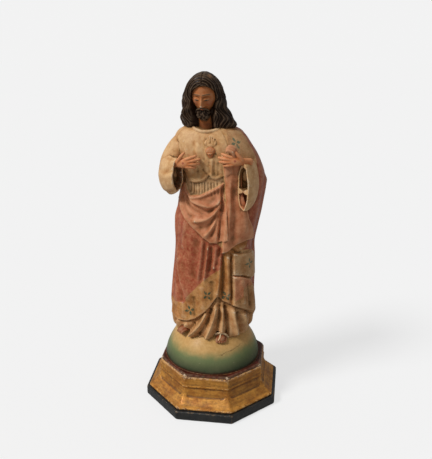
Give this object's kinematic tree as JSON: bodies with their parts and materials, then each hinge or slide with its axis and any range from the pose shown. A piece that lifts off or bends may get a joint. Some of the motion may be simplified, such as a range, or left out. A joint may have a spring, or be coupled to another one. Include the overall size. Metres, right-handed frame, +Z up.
{
  "type": "statuette",
  "caption": "Painted wooden statuette of a robed, bearded man holding his hands to a heart on his chest, standing on a globe over an octagonal gilt plinth and a black foot board.",
  "frame": {"origin": "middle of the foot board's underside", "axes": "+Z up, the figure faces -Y, +X is at the viewer's right when looking at the figure from the front"},
  "size_m": [0.1704, 0.1704, 0.4174],
  "materials": {
    "painted_figure": "oil paint over gesso on carved wood, cream robe, crimson mantle, worn and crackled, half gloss",
    "old_gilding": "old gilding on carved wood, rubbed brown with pale worn edges, soft shine",
    "black_paint": "black paint on wood, half gloss, chipped at a corner"
  },
  "bodies": {
    "root": {"figure_on_globe": "painted_figure", "plinth": "old_gilding", "foot_board": "black_paint"}
  },
  "joints": []
}
